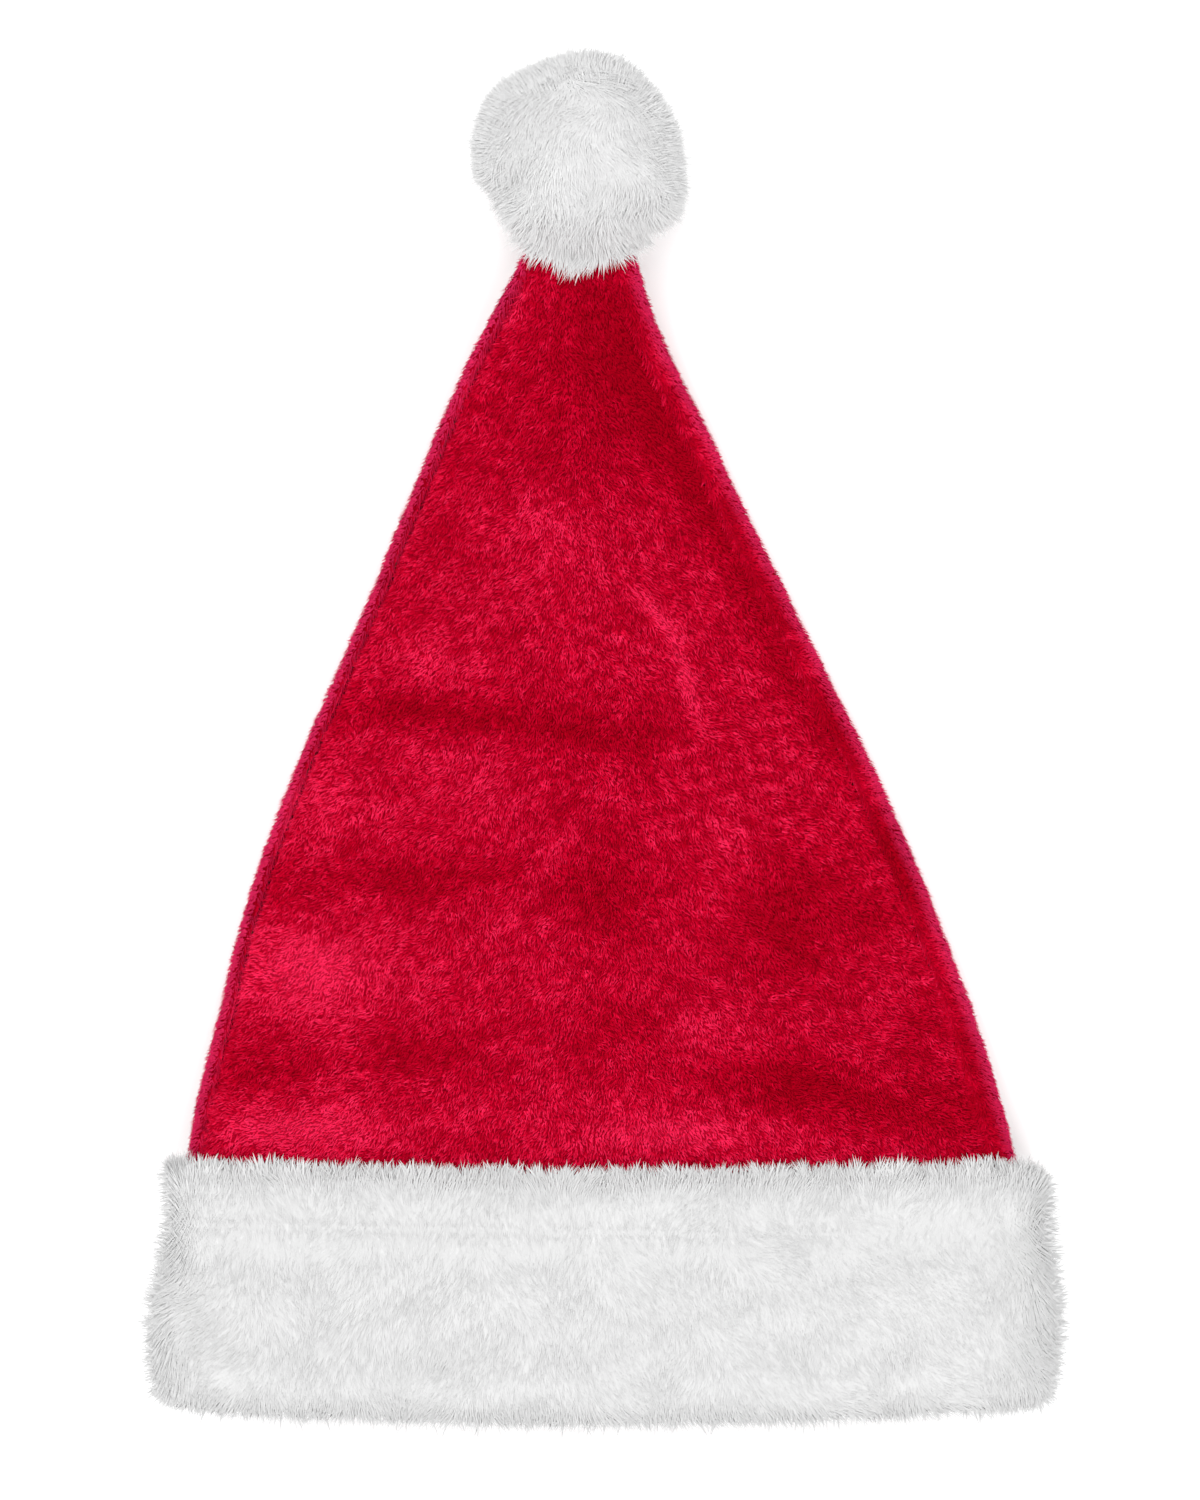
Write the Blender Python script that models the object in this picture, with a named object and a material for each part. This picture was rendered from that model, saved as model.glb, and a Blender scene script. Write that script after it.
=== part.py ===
"""A plush santa hat that lies flat on its back: two crown panels sewn up the sides,
a turned-up band of deep white pile round the mouth, and a pile ball on the tip.

Metres. +Z is up and +Y runs from the mouth to the pompom. The hat rests on z = 0,
and the origin is under the middle of its outline.
"""

from collections import namedtuple
from math import atan2, cos, degrees, exp, hypot, pi, radians, sin

import bmesh
import bpy

COLLECTION_NAME = "santa_hat"
CUTTER_COLLECTION_NAME = "cutters"

# Cloth
CROWN_WALL = 0.0028
SEAM_GAP = 0.0004
PIECE_GAP = 0.0004

# Side seams of the crown: how far round each rolled side they lie, from the widest point,
# and how far the stitching pulls the pile in
LEFT_SEAM_ANGLE = 51
RIGHT_SEAM_ANGLE = 80
SEAM_DIP = 0.0014
SEAM_DIP_SHARES = (1.0, 0.35)
# Points on a rolled side, in degrees from its widest point, the seams among them
ROLL_ANGLES = (-90, -68, -46, -24, -2, 20, 36, LEFT_SEAM_ANGLE, 66, RIGHT_SEAM_ANGLE, 90)
# How far each roll reaches in from the section's edge, less where the crown is narrow
CROWN_ROLL = 0.012
CUFF_ROLL = 0.026
ROLL_SHARE_OF_WIDTH = 0.24
# At the gathered tip the wall and the seam's dip keep to these shares of the roll's radius
WALL_SHARE_OF_ROLL = 0.60
DIP_SHARE_OF_ROLL = 0.20

# Points across the upper and the lower side of a section, between its two rolls
RUN_STEPS = 16

# The crown from its mouth edge, inside the cuff, to its gathered tip, inside the pompom
CrownRow = namedtuple("CrownRow", "y left right low side_height mid_height")
CROWN_ROWS = (
    CrownRow(-0.2225, -0.1418, 0.1412, 0.0146, 0.0214, 0.0270),
    CrownRow(-0.1600, -0.1426, 0.1412, 0.0146, 0.0214, 0.0270),
    CrownRow(-0.1450, -0.1428, 0.1410, 0.0146, 0.0214, 0.0270),
    CrownRow(-0.1240, -0.1398, 0.1358, 0.0104, 0.0222, 0.0300),
    CrownRow(-0.1000, -0.1336, 0.1288, 0.0036, 0.0215, 0.0330),
    CrownRow(-0.0780, -0.1291, 0.1212, 0.0008, 0.0200, 0.0335),
    CrownRow(-0.0470, -0.1204, 0.1093, 0.0004, 0.0190, 0.0320),
    CrownRow(-0.0165, -0.1093, 0.0961, 0.0004, 0.0185, 0.0305),
    CrownRow(0.0141, -0.0964, 0.0814, 0.0004, 0.0180, 0.0290),
    CrownRow(0.0447, -0.0830, 0.0660, 0.0004, 0.0175, 0.0275),
    CrownRow(0.0753, -0.0706, 0.0505, 0.0004, 0.0170, 0.0260),
    CrownRow(0.1059, -0.0580, 0.0362, 0.0022, 0.0165, 0.0240),
    CrownRow(0.1365, -0.0440, 0.0206, 0.0115, 0.0160, 0.0215),
    CrownRow(0.1569, -0.0328, 0.0131, 0.0216, 0.0150, 0.0180),
    CrownRow(0.1670, -0.0270, 0.0105, 0.0262, 0.0130, 0.0145),
    CrownRow(0.1760, -0.0180, 0.0020, 0.0300, 0.0095, 0.0100),
    CrownRow(0.1820, -0.0145, -0.0020, 0.0312, 0.0078, 0.0080),
)
CROWN_STATIONS_IN_CUFF = (-0.2225, -0.1950, -0.1680, -0.1520)
CROWN_FIRST_FREE_STATION = -0.1440
CROWN_LAST_FREE_STATION = 0.1500
CROWN_FREE_STEPS = 17
CROWN_TIP_STATIONS = (0.1580, 0.1650, 0.1710, 0.1765, 0.1820)

# Soft dents in the front panel: centre, reach along and across, turn from +X, depth
Dent = namedtuple("Dent", "x y along across turn depth")
FRONT_DENTS = (
    Dent(0.052, 0.048, 0.060, 0.011, -62, 0.0022),
    Dent(0.024, 0.122, 0.026, 0.010, -64, 0.0016),
    Dent(-0.045, 0.008, 0.050, 0.012, 2, 0.0012),
    Dent(-0.070, -0.044, 0.055, 0.012, 3, 0.0013),
    Dent(0.055, -0.070, 0.040, 0.014, -12, 0.0018),
    Dent(-0.080, -0.106, 0.055, 0.010, -2, 0.0012),
    Dent(0.070, -0.116, 0.050, 0.010, -8, 0.0014),
)
DENT_FADE_STEPS = 3

# The cuff's outer form, from its upper edge to the brim, with the waist where it was folded
CuffRow = namedtuple("CuffRow", "y left right low side_height mid_height")
CUFF_ROWS = (
    CuffRow(-0.2400, -0.1555, 0.1550, 0.0, 0.0490, 0.0560),
    CuffRow(-0.2200, -0.1570, 0.1568, 0.0, 0.0505, 0.0575),
    CuffRow(-0.2040, -0.1582, 0.1582, 0.0, 0.0520, 0.0590),
    CuffRow(-0.1860, -0.1552, 0.1566, 0.0, 0.0505, 0.0578),
    CuffRow(-0.1740, -0.1530, 0.1556, 0.0, 0.0480, 0.0555),
    CuffRow(-0.1640, -0.1512, 0.1532, 0.0, 0.0462, 0.0532),
    CuffRow(-0.1540, -0.1522, 0.1558, 0.0, 0.0478, 0.0548),
    CuffRow(-0.1400, -0.1518, 0.1530, 0.0, 0.0450, 0.0525),
)
CUFF_TOP = -0.1425
CUFF_BRIM = -0.2362
CUFF_TOP_ROUND = 0.007
CUFF_BRIM_ROUND = 0.009
CUFF_OUTER_STEPS = 8
CUFF_INNER_STEPS = 3
CUFF_ROUND_STEPS = 5
# The brim and the band's upper edge bow towards the tip at both sides
BRIM_BOW = 0.0050
TOP_BOW = 0.0025
BOW_HALF_WIDTH = 0.150
# Past the band's upper edge the bow fades out over this share of the band's height
BOW_FADE_SHARE = 0.5

# The pompom's outer form
POMPOM_CENTRE = (-0.0083, 0.1984, 0.0345)
POMPOM_HALF_HEIGHT = 0.0345
POMPOM_FINENESS = 4
# From this share of the ball's radius outwards the outline's radius holds in full
POMPOM_FULL_LEVEL = 0.62
# Its outline from above: direction in degrees from +X, and radius
OutlineRow = namedtuple("OutlineRow", "direction radius")
POMPOM_OUTLINE = (
    OutlineRow(-170, 0.0385),
    OutlineRow(-150, 0.0345),
    OutlineRow(-130, 0.0370),
    OutlineRow(-90, 0.0380),
    OutlineRow(-55, 0.0385),
    OutlineRow(-28, 0.0412),
    OutlineRow(0, 0.0368),
    OutlineRow(35, 0.0360),
    OutlineRow(75, 0.0378),
    OutlineRow(115, 0.0362),
    OutlineRow(145, 0.0392),
)
# The crown's tip fills this stretch of the pompom
POCKET_STATIONS = (0.1450, 0.1520, 0.1580, 0.1650, 0.1710, 0.1765, 0.1820)

Finish = namedtuple("Finish", "colour roughness")
RED_PLUSH = Finish((0.56, 0.006, 0.030, 1.0), 0.85)
WHITE_PILE = Finish((0.86, 0.86, 0.86, 1.0), 0.92)


def clear_scene():
    for item in list(bpy.data.objects):
        bpy.data.objects.remove(item, do_unlink=True)


def new_collection(name):
    collection = bpy.data.collections.new(name)
    bpy.context.scene.collection.children.link(collection)
    return collection


def new_material(name, finish):
    material = bpy.data.materials.new(name)
    material.use_nodes = True
    shader = material.node_tree.nodes["Principled BSDF"]
    shader.inputs["Base Color"].default_value = finish.colour
    shader.inputs["Roughness"].default_value = finish.roughness
    shader.inputs["Metallic"].default_value = 0.0
    material.diffuse_color = finish.colour
    return material


def row_at(rows, y):
    """The table's row at y, on a smooth curve through its rows."""
    y = min(max(y, rows[0].y), rows[-1].y)
    i = max(k for k in range(len(rows) - 1) if rows[k].y <= y)
    start, end = rows[i], rows[i + 1]
    before, after = rows[max(i - 1, 0)], rows[min(i + 2, len(rows) - 1)]
    span = end.y - start.y
    t = (y - start.y) / span
    values = [y]
    for p0, p1, p2, p3 in list(zip(before, start, end, after))[1:]:
        slope_in = (p2 - p0) / (end.y - before.y) * span
        slope_out = (p3 - p1) / (after.y - start.y) * span
        values.append(
            (2 * t**3 - 3 * t**2 + 1) * p1
            + (t**3 - 2 * t**2 + t) * slope_in
            + (3 * t**2 - 2 * t**3) * p2
            + (t**3 - t**2) * slope_out
        )
    return type(start)(*values)


def roll_reach(row, roll):
    """How far a rolled side reaches in from the section's edge."""
    return min(roll, ROLL_SHARE_OF_WIDTH * (row.right - row.left))


def crown_roll_radius(row):
    return min(roll_reach(row, CROWN_ROLL), row.side_height / 2)


def crown_wall_at(row):
    return min(CROWN_WALL, WALL_SHARE_OF_ROLL * crown_roll_radius(row))


def roll_point(row, side, angle, roll, inset):
    """A point of the rolled side, right for side 1 and left for side -1."""
    reach = roll_reach(row, roll)
    centre_x = (row.right - reach) if side > 0 else (row.left + reach)
    half = row.side_height / 2
    x = centre_x + side * (reach - inset) * cos(radians(angle))
    z = row.low + half + (half - inset) * sin(radians(angle))
    return (x, z)


def run_points(row, upper, roll, inset):
    """Points between the two rolls, from right to left, the arched upper or the flat lower side."""
    reach = roll_reach(row, roll)
    start, end = row.right - reach, row.left + reach
    arch = row.mid_height - row.side_height
    points = []
    for step in range(1, RUN_STEPS):
        share = step / RUN_STEPS
        x = start + (end - start) * share
        if upper:
            z = row.low + row.side_height - inset + arch * (1 - cos(2 * pi * share)) / 2
        else:
            z = row.low + inset
        points.append((x, z))
    return points


def whole_section(row, roll, inset):
    """A closed section: right roll from below, upper side, left roll, lower side."""
    right = [roll_point(row, 1, angle, roll, inset) for angle in ROLL_ANGLES]
    left = [roll_point(row, -1, angle, roll, inset) for angle in reversed(ROLL_ANGLES)]
    upper = run_points(row, True, roll, inset)
    lower = list(reversed(run_points(row, False, roll, inset)))
    return right + upper + left + lower


def panel_roll(row, upper, side, seam, inset):
    """One panel's stretch of a rolled side, ended half the seam's gap short of the seam."""
    radius = crown_roll_radius(row)
    dip = min(SEAM_DIP, DIP_SHARE_OF_ROLL * radius)
    back_off = degrees(SEAM_GAP / 2 / (radius - inset - dip))
    if upper:
        angles = [seam + back_off] + [angle for angle in ROLL_ANGLES if angle > seam]
        shares = SEAM_DIP_SHARES
    else:
        angles = [angle for angle in ROLL_ANGLES if angle < seam] + [seam - back_off]
        shares = tuple(reversed(SEAM_DIP_SHARES))
    level = (0.0,) * (len(angles) - len(shares))
    shares = shares + level if upper else level + shares
    return [
        roll_point(row, side, angle, CROWN_ROLL, inset + dip * share)
        for angle, share in zip(angles, shares)
    ]


def panel_section(row, upper, inset):
    """One panel's open line, from its right seam to its left one."""
    right = panel_roll(row, upper, 1, RIGHT_SEAM_ANGLE, inset)
    left = panel_roll(row, upper, -1, LEFT_SEAM_ANGLE, inset)
    run = run_points(row, upper, CROWN_ROLL, inset)
    if upper:
        return right + dented(run, row.y) + list(reversed(left))
    return list(reversed(right)) + run + left


def dent_at(x, y):
    total = 0.0
    for dent in FRONT_DENTS:
        turn = radians(dent.turn)
        along = (x - dent.x) * cos(turn) + (y - dent.y) * sin(turn)
        across = (y - dent.y) * cos(turn) - (x - dent.x) * sin(turn)
        total += dent.depth * exp(-((along / dent.along) ** 2) - (across / dent.across) ** 2)
    return total


def dented(run, y):
    """The upper run with the front panel's dents in it, fading out towards both seams."""
    points = []
    for step, (x, z) in enumerate(run, start=1):
        from_edge = min(step, RUN_STEPS - step)
        fade = min(1.0, from_edge / DENT_FADE_STEPS)
        points.append((x, z - dent_at(x, y) * fade))
    return points


def bow_at(x, y):
    """How far the cuff and the crown's mouth edge bow at x, most at the brim, none off the cuff."""
    share = (CUFF_TOP - y) / (CUFF_TOP - CUFF_BRIM)
    if share < 0:
        depth = TOP_BOW * max(0.0, 1 + share / BOW_FADE_SHARE)
    else:
        depth = TOP_BOW + (BRIM_BOW - TOP_BOW) * min(share, 1.0)
    return depth * (x / BOW_HALF_WIDTH) ** 2


def placed(section, y):
    """The section's (x, z) points at y, bowed as the cuff is."""
    return [(x, y + bow_at(x, y), z) for x, z in section]


def mesh_object(name, bm, material, collection):
    bmesh.ops.recalc_face_normals(bm, faces=bm.faces)
    mesh = bpy.data.meshes.new(name)
    bm.to_mesh(mesh)
    bm.free()
    mesh.materials.append(material)
    mesh.shade_smooth()
    made = bpy.data.objects.new(name, mesh)
    collection.objects.link(made)
    return made


def bridge(bm, first, second):
    """Quads between two closed loops of the same count."""
    count = len(first)
    for i in range(count):
        j = (i + 1) % count
        bm.faces.new((first[i], first[j], second[j], second[i]))


def strip_cap(bm, loop):
    """Closes a ribbon-shaped loop, whose second half runs back beside the first."""
    last = len(loop) - 1
    for i in range(len(loop) // 2 - 1):
        bm.faces.new((loop[i], loop[i + 1], loop[last - i - 1], loop[last - i]))


def crown_stations():
    step = (CROWN_LAST_FREE_STATION - CROWN_FIRST_FREE_STATION) / CROWN_FREE_STEPS
    free = [CROWN_FIRST_FREE_STATION + step * i for i in range(CROWN_FREE_STEPS + 1)]
    return list(CROWN_STATIONS_IN_CUFF) + free + list(CROWN_TIP_STATIONS)


def crown_panel(name, upper, material, collection):
    """A wall lofted through ribbon-shaped sections: the outer line, and back along the inner one."""
    bm = bmesh.new()
    loops = []
    for y in crown_stations():
        row = row_at(CROWN_ROWS, y)
        outer = placed(panel_section(row, upper, 0.0), y)
        inner = placed(panel_section(row, upper, crown_wall_at(row)), y)
        loops.append([bm.verts.new(point) for point in outer + list(reversed(inner))])
    for first, second in zip(loops, loops[1:]):
        bridge(bm, first, second)
    strip_cap(bm, loops[0])
    strip_cap(bm, loops[-1])
    return mesh_object(name, bm, material, collection)


def cuff_profile():
    """The wall's own outline as (y, share) pairs, where share runs from 0 outside to 1 inside."""
    top = CUFF_TOP - CUFF_TOP_ROUND
    brim = CUFF_BRIM + CUFF_BRIM_ROUND
    profile = []
    for step in range(CUFF_OUTER_STEPS + 1):
        profile.append((top + (brim - top) * step / CUFF_OUTER_STEPS, 0.0))
    for step in range(1, CUFF_ROUND_STEPS):
        turn = pi * step / CUFF_ROUND_STEPS
        profile.append((brim - CUFF_BRIM_ROUND * sin(turn), (1 - cos(turn)) / 2))
    for step in range(CUFF_INNER_STEPS + 1):
        profile.append((brim + (top - brim) * step / CUFF_INNER_STEPS, 1.0))
    for step in range(1, CUFF_ROUND_STEPS):
        turn = pi * step / CUFF_ROUND_STEPS
        profile.append((top + CUFF_TOP_ROUND * sin(turn), (1 + cos(turn)) / 2))
    return profile


def fur_cuff(material, collection):
    """A padded band lofted round its wall's outline, its inner side just clear of the crown."""
    bm = bmesh.new()
    loops = []
    for y, share in cuff_profile():
        outer = whole_section(row_at(CUFF_ROWS, y), CUFF_ROLL, 0.0)
        inner = whole_section(row_at(CROWN_ROWS, y), CROWN_ROLL, -PIECE_GAP)
        section = [
            (xo + (xi - xo) * share, zo + (zi - zo) * share)
            for (xo, zo), (xi, zi) in zip(outer, inner)
        ]
        loops.append([bm.verts.new(point) for point in placed(section, y)])
    for first, second in zip(loops, loops[1:] + loops[:1]):
        bridge(bm, first, second)
    return mesh_object("fur_cuff", bm, material, collection)


def outline_radius(direction):
    """The pompom's radius in this direction, on a smooth closed curve through its table."""
    rows = POMPOM_OUTLINE
    count = len(rows)
    wrapped = (direction - rows[0].direction) % 360 + rows[0].direction
    i = max(k for k in range(count) if rows[k].direction <= wrapped)
    start, end = rows[i], rows[(i + 1) % count]
    span = (end.direction - start.direction) % 360
    t = (wrapped - start.direction) / span
    ease = t * t * (3 - 2 * t)
    return start.radius + (end.radius - start.radius) * ease


def pompom_pocket(material, collection):
    """The crown's tip grown by the gap, which is cut out of the pompom."""
    bm = bmesh.new()
    loops = []
    for y in POCKET_STATIONS:
        section = whole_section(row_at(CROWN_ROWS, y), CROWN_ROLL, -PIECE_GAP)
        loops.append([bm.verts.new((x, y, z)) for x, z in section])
    end_y = POCKET_STATIONS[-1] + PIECE_GAP
    end = whole_section(row_at(CROWN_ROWS, end_y), CROWN_ROLL, -PIECE_GAP)
    loops.append([bm.verts.new((x, end_y, z)) for x, z in end])
    for first, second in zip(loops, loops[1:]):
        bridge(bm, first, second)
    bm.faces.new(loops[0])
    bm.faces.new(loops[-1])
    cutter = mesh_object("pompom_pocket", bm, material, collection)
    cutter.hide_render = True
    cutter.display_type = "WIRE"
    return cutter


def pompom(material, collection, cutter):
    """A ball drawn out to the outline from above, a little flattened, with a pocket for the tip."""
    bm = bmesh.new()
    bmesh.ops.create_icosphere(bm, subdivisions=POMPOM_FINENESS, radius=1.0)
    for vert in bm.verts:
        x, y, z = vert.co
        level = hypot(x, y)
        drawn_out = outline_radius(degrees(atan2(y, x))) - POMPOM_HALF_HEIGHT
        radius = POMPOM_HALF_HEIGHT + drawn_out * min(1.0, level / POMPOM_FULL_LEVEL)
        vert.co = (x * radius, y * radius, z * POMPOM_HALF_HEIGHT)
    made = mesh_object("pompom", bm, material, collection)
    made.location = POMPOM_CENTRE
    cut = made.modifiers.new("pocket_for_the_tip", "BOOLEAN")
    cut.operation = "DIFFERENCE"
    cut.solver = "EXACT"
    cut.object = cutter
    return made


clear_scene()
hat = new_collection(COLLECTION_NAME)
cutters = new_collection(CUTTER_COLLECTION_NAME)
red_plush = new_material("red_plush", RED_PLUSH)
white_pile = new_material("white_pile", WHITE_PILE)

crown_panel("crown_front_panel", True, red_plush, hat)
crown_panel("crown_back_panel", False, red_plush, hat)
fur_cuff(white_pile, hat)
pocket = pompom_pocket(white_pile, cutters)
pompom(white_pile, hat, pocket)
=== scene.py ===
"""The looks of a plush santa hat that lies flat on its back.

Metres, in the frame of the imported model: +Z is up, and +Y runs from the mouth to the pompom.
"""

from collections import namedtuple
from math import pi, radians, sqrt

import bmesh
import bpy
import numpy as np
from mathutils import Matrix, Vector
from mathutils.bvhtree import BVHTree


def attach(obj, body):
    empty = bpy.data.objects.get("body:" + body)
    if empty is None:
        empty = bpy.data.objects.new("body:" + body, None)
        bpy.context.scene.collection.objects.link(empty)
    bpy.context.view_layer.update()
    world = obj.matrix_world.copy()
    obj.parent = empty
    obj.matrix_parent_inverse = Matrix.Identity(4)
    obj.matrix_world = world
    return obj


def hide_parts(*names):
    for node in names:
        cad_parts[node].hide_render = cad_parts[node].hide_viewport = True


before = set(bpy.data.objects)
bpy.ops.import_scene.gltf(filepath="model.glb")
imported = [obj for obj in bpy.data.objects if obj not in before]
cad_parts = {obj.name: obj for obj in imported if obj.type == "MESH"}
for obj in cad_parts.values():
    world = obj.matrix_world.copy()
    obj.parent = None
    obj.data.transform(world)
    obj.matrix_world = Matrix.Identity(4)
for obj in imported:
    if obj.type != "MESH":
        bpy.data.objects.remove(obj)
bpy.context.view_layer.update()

# Front panel's cloth
# The upper of the crown's two panels, a red warp knit that carries the pile on its outer side.
# It is cut as a long triangle and sewn to the back panel up both sides, right sides together.
MERGE_DISTANCE = 1e-6
SAME_SURFACE_ANGLE = radians(50)
CLOTH_FINENESS = 2
PILE_DEPTH = 0.0010
# Smooth random patches: how strong they are, how far apart, and their seed
Patches = namedtuple("Patches", "strength size seed")
CLOTH_UNEVENNESS = Patches(0.00022, 0.017, 3)
# How near the crown's edges its cloth turns round to the other side
CROWN_ROLL = 0.012
CROWN_ROLL_SHARE = 0.24
SECTION_GAP = 0.004
# How far from the other panel the pile leans over their seam most, and no more
SEAM_AT = 0.0008
SEAM_REACH = 0.0026
# The cloth's outer side is where it faces outward by at least this cosine
SEAM_SHOULDER = 0.05

RED_DEEP = (0.270, 0.0001, 0.0065)
RED_MIDDLE = (0.470, 0.0010, 0.0185)
RED_LIGHT = (0.780, 0.0180, 0.0820)
# The pale red painted on the crown's edges as their sheen
RED_EDGE_SHEEN = (0.530, 0.0180, 0.0880)
RED_BACKING = (0.330, 0.0040, 0.0180)
# The ground is painted darker than the pile's tips, as shade under the pile, except at the seams,
# where it is painted lighter so that their gaps show no shade
GROUND_SHADE_TONE = 0.62
GROUND_SHADE = -0.4
SEAM_PAINTED_LIGHT = 0.8
SHADE_LIMIT = 1.4
KNIT_WALE = 0.0013
COURSES_TO_WALES = 1.3
# The knit's valleys are painted darker by this share, as shade in them
KNIT_VALLEY_SHADE = 0.55
KNIT_RELIEF = 0.0003
# The wave texture's stripes are this far apart at a scale of one
WAVE_SPACING = 0.314

# Where the stroked nap looks darker or lighter over the front panel, as shade and sheen painted
# into the pile's colour: centre, reach along and across, turn from +X, and strength
NapShadeMark = namedtuple("NapShadeMark", "x y along across turn strength")
NAP_SHADE_MARKS = (
    NapShadeMark(0.012, 0.124, 0.030, 0.0100, -63, -1.00),
    NapShadeMark(0.036, 0.080, 0.030, 0.0090, -58, -0.80),
    NapShadeMark(0.060, 0.030, 0.034, 0.0080, -63, -0.60),
    NapShadeMark(-0.008, 0.118, 0.040, 0.0320, -70, -0.48),
    NapShadeMark(-0.012, -0.003, 0.030, 0.0220, 0, -0.25),
    NapShadeMark(-0.064, 0.010, 0.030, 0.0060, 0, -0.70),
    NapShadeMark(-0.015, 0.005, 0.036, 0.0060, -6, -0.45),
    NapShadeMark(0.012, -0.003, 0.018, 0.0050, 90, -0.30),
    NapShadeMark(-0.065, -0.047, 0.050, 0.0080, 2, -0.50),
    NapShadeMark(0.002, -0.052, 0.020, 0.0170, 0, -0.55),
    NapShadeMark(0.064, -0.060, 0.024, 0.0180, 80, -0.80),
    NapShadeMark(0.092, -0.059, 0.010, 0.0080, 0, -0.50),
    NapShadeMark(0.010, -0.095, 0.018, 0.0080, 0, -0.50),
    NapShadeMark(-0.114, -0.110, 0.016, 0.0080, 0, -0.50),
    NapShadeMark(-0.059, -0.105, 0.020, 0.0080, 0, -0.50),
    NapShadeMark(0.076, -0.120, 0.055, 0.0090, -12, -0.70),
    NapShadeMark(0.066, -0.115, 0.014, 0.0090, 0, -0.45),
    NapShadeMark(0.117, -0.122, 0.012, 0.0080, 0, -0.45),
    NapShadeMark(0.106, -0.100, 0.013, 0.0080, 75, -0.50),
    NapShadeMark(-0.100, -0.078, 0.028, 0.0160, 0, 0.80),
    NapShadeMark(-0.103, -0.131, 0.035, 0.0080, 0, 0.80),
    NapShadeMark(0.022, -0.133, 0.036, 0.0070, 0, 0.70),
    NapShadeMark(0.029, -0.098, 0.013, 0.0080, 0, 0.55),
    NapShadeMark(0.0155, 0.0455, 0.011, 0.0028, -48, 0.75),
    NapShadeMark(0.0275, 0.0225, 0.018, 0.0028, -72, 0.85),
    NapShadeMark(-0.022, -0.045, 0.023, 0.0033, 54, 0.60),
    NapShadeMark(0.041, -0.033, 0.011, 0.0080, 0, 0.40),
    NapShadeMark(-0.017, 0.072, 0.016, 0.0140, 0, 0.45),
    NapShadeMark(-0.042, -0.013, 0.019, 0.0140, 0, 0.40),
    NapShadeMark(-0.095, -0.023, 0.014, 0.0120, 75, 0.50),
    NapShadeMark(-0.061, 0.029, 0.013, 0.0080, 0, 0.40),
    NapShadeMark(-0.032, 0.147, 0.011, 0.0060, 70, 0.50),
)
DEEPEST_NAP_SHADE = 1.2


def merged(*nodes):
    """CAD nodes as one closed mesh with their corners joined and their quads whole again."""
    bm = bmesh.new()
    for node in nodes:
        bm.from_mesh(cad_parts[node].data)
    bmesh.ops.remove_doubles(bm, verts=bm.verts, dist=MERGE_DISTANCE)
    bmesh.ops.join_triangles(
        bm,
        faces=bm.faces,
        angle_face_threshold=SAME_SURFACE_ANGLE,
        angle_shape_threshold=SAME_SURFACE_ANGLE,
    )
    # Cut edges stay where they are when the mesh is smoothed, so that seams stay closed
    crease = bm.edges.layers.float.new("crease_edge")
    for edge in bm.edges:
        if len(edge.link_faces) == 2 and edge.calc_face_angle() > SAME_SURFACE_ANGLE:
            edge[crease] = 1.0
    return bm


def smoothed(bm, name, levels):
    """The mesh subdivided to a smooth surface, as a new object."""
    rough_mesh = bpy.data.meshes.new(name)
    bm.to_mesh(rough_mesh)
    bm.free()
    rough = bpy.data.objects.new(name, rough_mesh)
    bpy.context.scene.collection.objects.link(rough)
    finer = rough.modifiers.new("finer", "SUBSURF")
    finer.levels = levels
    finer.render_levels = levels
    graph = bpy.context.evaluated_depsgraph_get()
    mesh = bpy.data.meshes.new_from_object(rough.evaluated_get(graph))
    bpy.data.objects.remove(rough)
    bpy.data.meshes.remove(rough_mesh)
    mesh.name = name
    mesh.materials.clear()
    mesh.shade_smooth()
    made = bpy.data.objects.new(name, mesh)
    bpy.context.scene.collection.objects.link(made)
    return made


def places_of(mesh):
    """The mesh's vertices and their normals as arrays."""
    places = np.empty(len(mesh.vertices) * 3)
    normals = np.empty(len(mesh.vertices) * 3)
    mesh.vertices.foreach_get("co", places)
    mesh.vertices.foreach_get("normal", normals)
    return places.reshape(-1, 3), normals.reshape(-1, 3)


def set_places(mesh, places):
    """Moves the mesh's vertices to these places."""
    mesh.vertices.foreach_set("co", places.ravel())
    mesh.update()


def unit(vectors):
    """The vectors shortened or stretched to a length of one."""
    return vectors / np.maximum(np.linalg.norm(vectors, axis=1), 1e-12)[:, None]


def smooth_step(values, low, high):
    """A smooth rise from 0 at the low value to 1 at the high one."""
    share = np.clip((values - low) / (high - low), 0, 1)
    return share * share * (3 - 2 * share)


def ripples(points, length, seed, waves=18):
    """A smooth random field at the points, mostly from -1 to 1, with bumps about length apart."""
    rng = np.random.default_rng(seed)
    ways = rng.normal(size=(waves, 3))
    ways /= np.linalg.norm(ways, axis=1)[:, None]
    ways *= 2 * pi / length * rng.uniform(0.75, 1.35, waves)[:, None]
    phases = rng.uniform(0, 2 * pi, waves)
    return np.sin(points @ ways.T + phases).sum(1) * sqrt(1 / waves)


def patchy(points, *kinds):
    """The sum at the points of one or more kinds of smooth random patches."""
    return sum(kind.strength * ripples(points, kind.size, kind.seed) for kind in kinds)


def nap_shade(points):
    """How dark or light the front panel's stroked nap looks at each point, from -1 to 1, as painted
    shade and sheen.
    """
    shade = np.zeros(len(points))
    for mark in NAP_SHADE_MARKS:
        turn = radians(mark.turn)
        dx, dy = points[:, 0] - mark.x, points[:, 1] - mark.y
        along = (dx * np.cos(turn) + dy * np.sin(turn)) / mark.along
        across = (dy * np.cos(turn) - dx * np.sin(turn)) / mark.across
        shade += mark.strength * np.exp(-(along**2) - across**2)
    return np.clip(shade, -DEEPEST_NAP_SHADE, DEEPEST_NAP_SHADE)


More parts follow.
